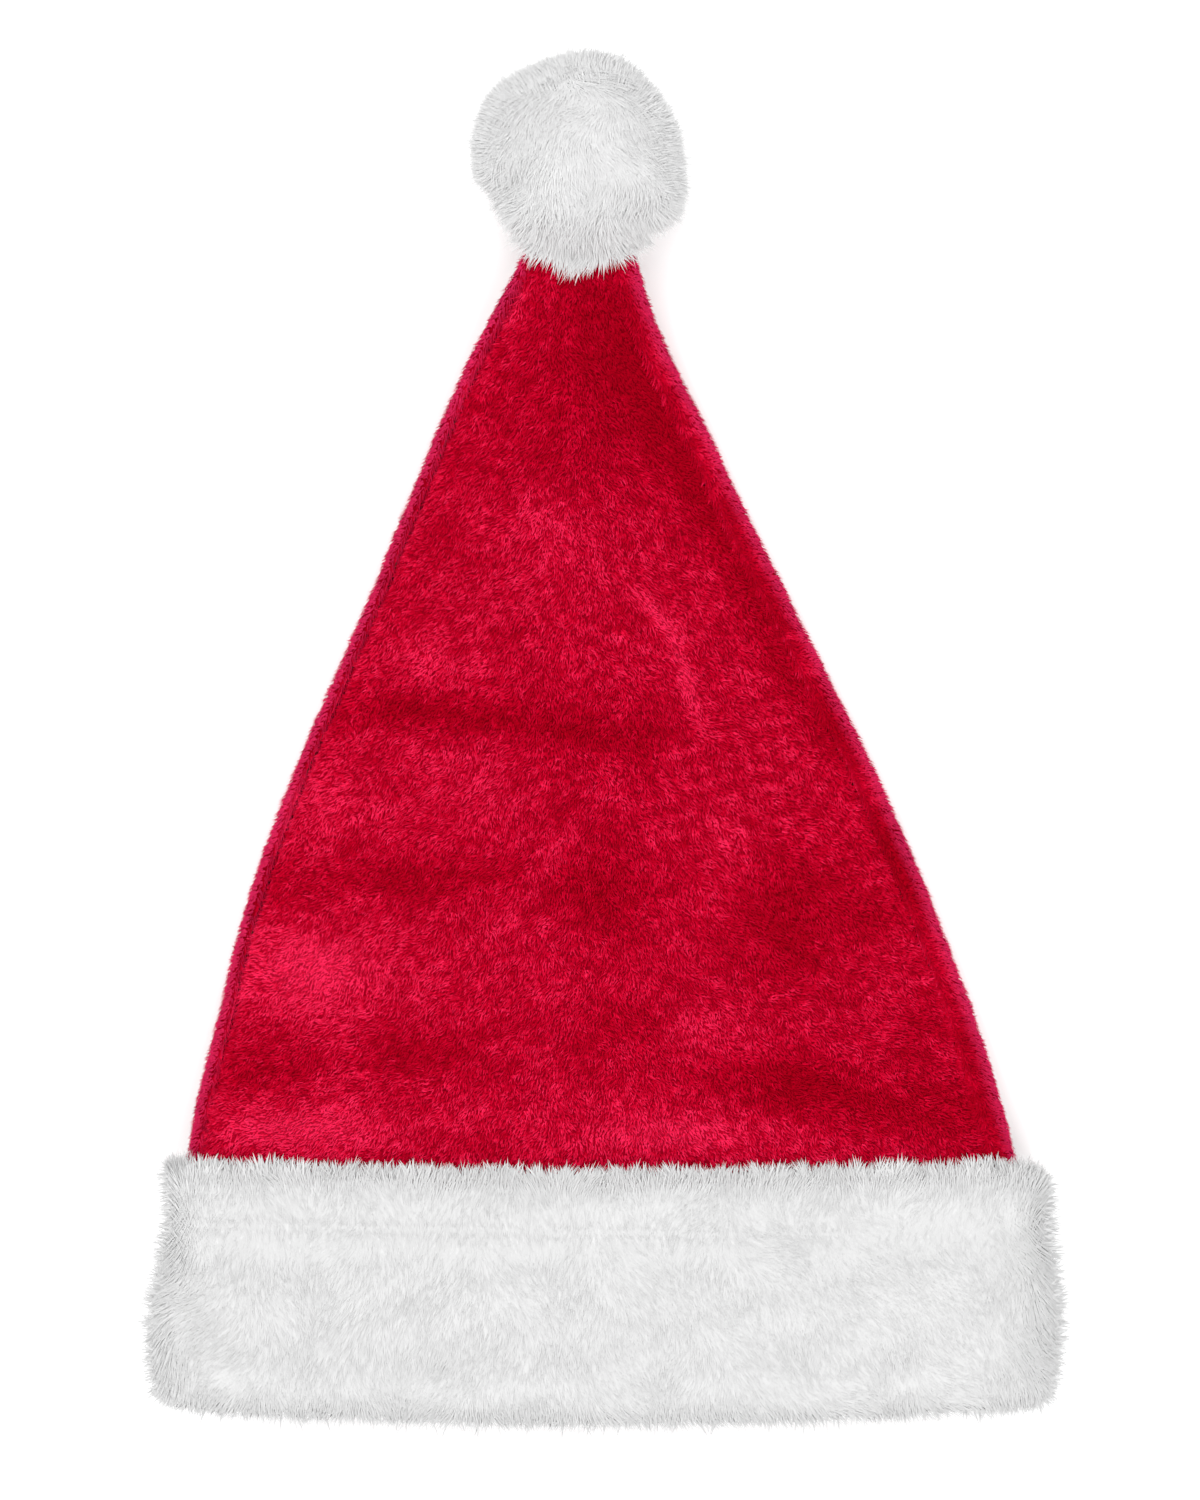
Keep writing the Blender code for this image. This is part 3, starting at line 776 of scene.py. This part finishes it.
def cuff_fur(name, kept, kind, finish):
    """Fur on one side of the cuff: long fine strands that lie close on its skin."""
    roots, ups = scattered(padding.data, kept, kind.count, kind.seed)
    rng = np.random.default_rng(kind.seed)
    heading = cuff_heading(roots, rng)
    at_side = np.hypot(ups[:, 0], ups[:, 1])
    lift = CUFF_LIFT + CUFF_SIDE_LIFT * at_side**4 + patchy(roots, CUFF_LIFT_PATCHES)
    lift = np.clip(lift + rng.normal(0, CUFF_LIFT_SPREAD, len(roots)), *CUFF_LIFT_LIMITS)
    lift *= 1 - PRESSED_LIFT * smooth_step(-ups[:, 2], 0.5, 0.9)
    # Short fibres stand up along the parting and show as a fine line, which is also painted lighter as
    # a highlight
    in_parting = np.exp(-((past_parting(roots) / PARTING_WIDTH) ** 2))
    in_parting *= roots[:, 0] < PARTING_END
    lift += PARTING_LIFT * in_parting
    ways = laid(ups, heading, lift, CUFF_SINKING * smooth_step(at_side, 0.6, 0.9))
    lengths = kind.length * rng.uniform(*FUR_LENGTHS, len(roots))
    lengths *= 1 - PARTING_SHORTENING * in_parting
    widths = kind.width * rng.uniform(*FUR_WIDTHS, len(roots))
    in_fold = np.exp(-(((roots[:, 1] - FOLD_AT) / FOLD_REACH) ** 2))
    tone = 1 + patchy(roots, CUFF_TONE_PATCHES) + rng.normal(0, FUR_TONE_SPREAD, len(roots))
    # Painted highlight on the parting and painted shade over the fold
    tone += PARTING_HIGHLIGHT * in_parting - FOLD_PAINTED_SHADE * in_fold
    # Painted light at the left end and the sides
    tone += LEFT_END_PAINTED_LIGHT * smooth_step(-roots[:, 0], 0.125, 0.150)
    tone += SIDES_PAINTED_LIGHT * at_side**2
    tone += TOP_BRIGHTER * smooth_step(roots[:, 1], -0.158, -0.150)
    # Painted shade in the gaps below the band's top edge
    top_gap_shade = TOP_GAP_PAINTED_SHADE * smooth_step(roots[:, 1], CUFF_TOP - 0.0035, CUFF_TOP - 0.001)
    root_colours = np.array(WHITE_ROOT) * (tone * (1 - top_gap_shade))[:, None]
    tip_colours = np.clip(np.array(WHITE_TIP) * tone[:, None], 0, BRIGHTEST_FUR)
    colours = root_colours, tip_colours
    made = strands(name, finish, WHITE_SHADING, roots, ups, ways, lengths, widths, colours)
    return made


cuff_places, cuff_normals = places_of(padding.data)
# Fur grows where the crown leaves it room, and round the band's lower edge
furred = (room_to_crown(cuff_places) > 0.0030) | (cuff_places[:, 1] < -0.2240)
front_side = cuff_normals[:, 2] > -0.15
cuff_fur("cuff_fur_front", furred & front_side, CUFF_FRONT_FUR, white_fur)
cuff_fur("cuff_fur_back", furred & ~front_side, CUFF_BACK_FUR, white_fur)

# Cuff's fringe
# Thicker clumped locks of the same fur, which hang over the red along the band's upper edge.
# Single ones stand out all round its outline.
CUFF_FRINGE = FurKind(3600, 0.0054, 0.00105, 43)
CUFF_OUTLINE_COUNT = 2000
FRINGE_FROM = -0.1486
# How much the cloth tilts up or down where single locks stand out from it
FRINGE_TILT = 0.30
FRINGE_TURNS = Patches(radians(16), 0.007, 49)
FRINGE_HEADING_SPREAD = radians(13)
FRINGE_RISE = radians(20)
FRINGE_RISE_SPREAD = radians(5)
LEVEL_RISE = 0.3
FRINGE_RAGGEDNESS = Patches(0.40, 0.006, 50)
LOCK_SPREAD = 0.25
LOCK_WIDTHS = (0.7, 1.2)
OUTLINE_SHORTER = 0.9
OUTLINE_TONE = 1.05
# The hung locks are painted darker at their roots and lighter at their tips, and darker in the gaps
# between them, as shade and light
FRINGE_ROOT_TONE = 0.98
FRINGE_TIP_TONE = 1.10
FRINGE_GAPS = Patches(1.0, 0.011, 58)
FRINGE_GAP_SHADE = 0.42


def fringe_roots(skin, fringed, outlying, kind, outline_count):
    """Where the hung locks and then the single ones grow, and which of them are single."""
    hung = scattered(skin.data, fringed, kind.count, kind.seed)
    single = scattered(skin.data, outlying, outline_count, kind.seed)
    roots, ups = (np.concatenate(pair) for pair in zip(hung, single))
    return roots, ups, np.arange(len(roots)) >= kind.count


def fringe_ways(ups, heading, rise, at_outline):
    """Hung locks rise off the skin, and single ones lie level."""
    level = np.stack((np.cos(heading), np.sin(heading), LEVEL_RISE * rise), axis=1)
    return np.where(at_outline[:, None], unit(level), laid(ups, heading, rise))


fringed = furred & front_side & (cuff_places[:, 1] > FRINGE_FROM)
outlying = furred & (np.abs(cuff_normals[:, 2]) < FRINGE_TILT)
roots, ups, at_outline = fringe_roots(
    padding, fringed, outlying, CUFF_FRINGE, CUFF_OUTLINE_COUNT
)
rng = np.random.default_rng(CUFF_FRINGE.seed)
heading = np.where(at_outline, np.arctan2(ups[:, 1], ups[:, 0]), pi / 2)
heading += rng.normal(0, FRINGE_HEADING_SPREAD, len(roots)) + patchy(roots, FRINGE_TURNS)
rise = np.where(at_outline, 0.0, FRINGE_RISE) + rng.normal(0, FRINGE_RISE_SPREAD, len(roots))
ways = fringe_ways(ups, heading, rise, at_outline)
ragged = 1 + patchy(roots, FRINGE_RAGGEDNESS) + rng.uniform(-LOCK_SPREAD, LOCK_SPREAD, len(roots))
lengths = CUFF_FRINGE.length * np.clip(ragged, 0.4, 1.5)
lengths *= np.where(at_outline, OUTLINE_SHORTER, 1.0)
widths = CUFF_FRINGE.width * rng.uniform(*LOCK_WIDTHS, len(roots))
# Painted shade in the gaps between the hung locks, at their roots
gaps = FRINGE_GAP_SHADE * smooth_step(patchy(roots, FRINGE_GAPS), -0.3, 1.0)
root_tone = np.where(at_outline, OUTLINE_TONE, FRINGE_ROOT_TONE - gaps)
root_tone += rng.normal(0, 0.01, len(roots))
tip_tone = np.where(at_outline, OUTLINE_TONE, FRINGE_TIP_TONE)
colours = np.array(WHITE_ROOT) * root_tone[:, None], np.array(WHITE_TIP) * tip_tone[:, None]
cuff_fringe = strands(
    "cuff_fringe",
    white_fur,
    WHITE_SHADING,
    roots,
    ups,
    ways,
    lengths,
    widths,
    colours,
    at_outline,
)

# Pompom
# A ball of the same white pile, gathered round a little stuffing and sewn over the crown's tip.
# Its fur stands out all round, and hangs down over the red on the side of the crown.
POMPOM_FINENESS = 1
POMPOM_FUR_DEPTH = 0.0050
# The skin keeps this far from the crown's tip
POMPOM_CLEARANCE = 0.0006
POMPOM_LESS_ON_TOP = 0.4
POMPOM_FUR = FurKind(31500, 0.0072, 0.00056, 51)
POMPOM_MIDDLE = (-0.0083, 0.2000)
POMPOM_COMBED_FROM = (-0.0083, 0.2560)
POMPOM_FOOT = 0.1760
POMPOM_TONE = 1.15
# Up to here the fur hangs over the foot
POMPOM_HANGS_FROM = 0.1860
POMPOM_HANG_REACH = 0.012
HANGING_LIFT = radians(18)
HANGING_LONGER = 0.18
POMPOM_HEADING_SPREAD = radians(14)
POMPOM_SWIRLS = Patches(radians(34), 0.022, 52)
# The fur stands out at the rim by this much, and lies down on top by the second
RIM_LIFT = radians(32)
TOP_LOWER = radians(26)
POMPOM_LIFT_PATCHES = Patches(radians(2), 0.008, 53)
POMPOM_LIFT_SPREAD = radians(2)
POMPOM_LIFT_LIMITS = (radians(3), radians(85))
RIM_SINKING = 2.5
POMPOM_TONE_PATCHES = Patches(0.008, 0.010, 54)
POMPOM_LENGTHS = (0.7, 1.2)
# The rim over the red hangs lowest in the middle
RIM_RISE = 0.0065
RIM_HALF_WIDTH = 0.021


def pompom_core(ground):
    """The pompom's skin, set back from the outer form by the depth of its fur."""
    made = smoothed(merged("pompom"), "pompom_core", POMPOM_FINENESS)
    mesh = made.data
    places, normals = places_of(mesh)
    depth = np.clip(room_to_crown(places) - POMPOM_CLEARANCE, 0, POMPOM_FUR_DEPTH)
    depth *= 1 - POMPOM_LESS_ON_TOP * smooth_step(normals[:, 2], 0.5, 1.0)
    depth *= 1 - FUR_PRESSED * smooth_step(-normals[:, 2], 0.8, 0.97)
    places -= normals * depth[:, None]
    sideways = np.clip(((places[:, 0] - POMPOM_MIDDLE[0]) / RIM_HALF_WIDTH) ** 2, 0, 1.3)
    places[:, 1] += RIM_RISE * sideways * (1 - smooth_step(places[:, 1], 0.160, 0.180))
    set_places(mesh, places)
    paint(mesh, np.full((len(places), 3), WHITE_ROOT) * POMPOM_TONE)
    mesh.materials.append(ground)
    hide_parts("pompom")
    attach(made, "root")
    return made


core = pompom_core(white_ground)
core_places, core_normals = places_of(core.data)
core_furred = room_to_crown(core_places) > 0.0008
under_rim = (core_normals[:, 1] < -0.5) & (core_normals[:, 2] < 0.1)
core_furred &= ~((core_places[:, 1] < POMPOM_FOOT) & under_rim)
roots, ups = scattered(core.data, core_furred, POMPOM_FUR.count, POMPOM_FUR.seed)
rng = np.random.default_rng(POMPOM_FUR.seed)
combed = np.arctan2(roots[:, 1] - POMPOM_COMBED_FROM[1], roots[:, 0] - POMPOM_COMBED_FROM[0])
outward = np.arctan2(roots[:, 1] - POMPOM_MIDDLE[1], roots[:, 0] - POMPOM_MIDDLE[0])
at_rim = rng.random(len(roots)) > smooth_step(ups[:, 2], 0.35, 0.80)
heading = np.where(at_rim, outward, combed) + rng.normal(0, POMPOM_HEADING_SPREAD, len(roots))
heading += patchy(roots, POMPOM_SWIRLS)
lift = RIM_LIFT - TOP_LOWER * smooth_step(ups[:, 2], 0.1, 0.7)
lift += patchy(roots, POMPOM_LIFT_PATCHES) + rng.normal(0, POMPOM_LIFT_SPREAD, len(roots))
lift *= 1 - PRESSED_LIFT * smooth_step(-ups[:, 2], 0.5, 0.95)
hanging = 1 - smooth_step(roots[:, 1], POMPOM_HANGS_FROM - POMPOM_HANG_REACH, POMPOM_HANGS_FROM)
hanging *= smooth_step(ups[:, 2], 0.0, 0.3)
lift += HANGING_LIFT * hanging
ways = laid(ups, heading, np.clip(lift, *POMPOM_LIFT_LIMITS), RIM_SINKING * at_rim)
tone = POMPOM_TONE + patchy(roots, POMPOM_TONE_PATCHES)
tone += rng.normal(0, FUR_TONE_SPREAD, len(roots))
lengths = POMPOM_FUR.length * rng.uniform(*POMPOM_LENGTHS, len(roots)) * (1 + HANGING_LONGER * hanging)
widths = POMPOM_FUR.width * rng.uniform(*FUR_WIDTHS, len(roots))
tip_colours = np.clip(np.array(WHITE_TIP) * tone[:, None], 0, BRIGHTEST_FUR)
colours = np.array(WHITE_ROOT) * tone[:, None], tip_colours
pompom_fur = strands(
    "pompom_fur", white_fur, WHITE_SHADING, roots, ups, ways, lengths, widths, colours
)

# Pompom's fringe
# Thicker clumped locks hang over the red at the ball's foot, and single ones stand out all round.
# They are the ball's own fur, which clumps where it is longest.
POMPOM_FRINGE = FurKind(1200, 0.0052, 0.00080, 55)
POMPOM_OUTLINE_COUNT = 1000
POMPOM_FRINGE_SPREAD = radians(11)
POMPOM_FRINGE_TURNS = Patches(radians(14), 0.008, 56)
POMPOM_FRINGE_RISE = radians(12)
POMPOM_RAGGEDNESS = Patches(0.30, 0.006, 57)
# The locks hung at the ball's foot are painted darker, as the shade beneath the ball
FOOT_SHADE_TONE = 0.86
core_fringed = core_furred & (core_places[:, 1] < POMPOM_FOOT) & (core_normals[:, 2] > -0.1)
core_outlying = core_furred & (np.abs(core_normals[:, 2]) < FRINGE_TILT)
roots, ups, at_outline = fringe_roots(
    core, core_fringed, core_outlying, POMPOM_FRINGE, POMPOM_OUTLINE_COUNT
)
rng = np.random.default_rng(POMPOM_FRINGE.seed)
outward = np.arctan2(roots[:, 1] - POMPOM_MIDDLE[1], roots[:, 0] - POMPOM_MIDDLE[0])
heading = outward + rng.normal(0, POMPOM_FRINGE_SPREAD, len(roots))
heading += patchy(roots, POMPOM_FRINGE_TURNS)
rise = np.where(at_outline, 0.0, POMPOM_FRINGE_RISE)
rise += rng.normal(0, FRINGE_RISE_SPREAD, len(roots))
ways = fringe_ways(ups, heading, rise, at_outline)
ragged = 0.9 + patchy(roots, POMPOM_RAGGEDNESS)
ragged += rng.uniform(-LOCK_SPREAD, LOCK_SPREAD, len(roots))
lengths = POMPOM_FRINGE.length * np.clip(ragged, 0.4, 1.4)
widths = POMPOM_FRINGE.width * rng.uniform(*LOCK_WIDTHS, len(roots))
# Painted shade on the locks at the ball's foot
tone = POMPOM_TONE * np.where(at_outline, 1.0, FOOT_SHADE_TONE) + rng.normal(0, 0.02, len(roots))
colours = np.array(WHITE_ROOT) * tone[:, None], np.array(WHITE_TIP) * tone[:, None]
pompom_fringe = strands(
    "pompom_fringe",
    white_fur,
    WHITE_SHADING,
    roots,
    ups,
    ways,
    lengths,
    widths,
    colours,
    at_outline,
)

# Studio
# A plain near-white table under a wide soft light, with the camera straight above the hat.
FLOOR_HALF = 4.0
CAMERA_HEIGHT = 2.425
PHOTO_HEIGHT = 0.510
SENSOR = 36.0
# The lens is set for this height above the table, where most of the hat's outline lies
OUTLINE_HEIGHT = 0.025
WORLD_STRENGTH = 1.20
CAMERA_PLACE = (-0.0015, -0.0029)

floor_bm = bmesh.new()
bmesh.ops.create_grid(floor_bm, x_segments=1, y_segments=1, size=FLOOR_HALF)
floor_mesh = bpy.data.meshes.new("floor")
floor_bm.to_mesh(floor_mesh)
floor_bm.free()
floor = bpy.data.objects.new("floor", floor_mesh)
bpy.context.scene.collection.objects.link(floor)
floor_finish = bpy.data.materials.new("pale_table")
floor_finish.use_nodes = True
floor_shader = floor_finish.node_tree.nodes["Principled BSDF"]
floor_shader.inputs["Base Color"].default_value = (0.98, 0.98, 0.98, 1.0)
floor_shader.inputs["Roughness"].default_value = 0.9
floor_shader.inputs["Specular IOR Level"].default_value = 0.1
floor_mesh.materials.append(floor_finish)

world = bpy.data.worlds.new("studio")
bpy.context.scene.world = world
world.use_nodes = True
background = world.node_tree.nodes["Background"]
background.inputs["Color"].default_value = (1.0, 1.0, 1.0, 1.0)
background.inputs["Strength"].default_value = WORLD_STRENGTH
bpy.context.scene.view_settings.view_transform = "Standard"

SoftBox = namedtuple("SoftBox", "name place size watts")
for box in (
    SoftBox("key", (-0.7, 0.5, 2.1), 1.6, 19.0),
    SoftBox("fill", (0.8, -0.7, 2.0), 1.6, 13.0),
):
    lamp_data = bpy.data.lights.new(box.name, "AREA")
    lamp_data.size = box.size
    lamp_data.energy = box.watts
    lamp = bpy.data.objects.new(box.name, lamp_data)
    lamp.location = box.place
    lamp.rotation_euler = (-Vector(box.place)).to_track_quat("-Z", "Y").to_euler()
    bpy.context.scene.collection.objects.link(lamp)

camera_data = bpy.data.cameras.new("camera")
camera_data.sensor_width = SENSOR
camera_data.lens = SENSOR * (CAMERA_HEIGHT - OUTLINE_HEIGHT) / PHOTO_HEIGHT
camera = bpy.data.objects.new("camera", camera_data)
camera.location = (*CAMERA_PLACE, CAMERA_HEIGHT)
bpy.context.scene.collection.objects.link(camera)
bpy.context.scene.camera = camera
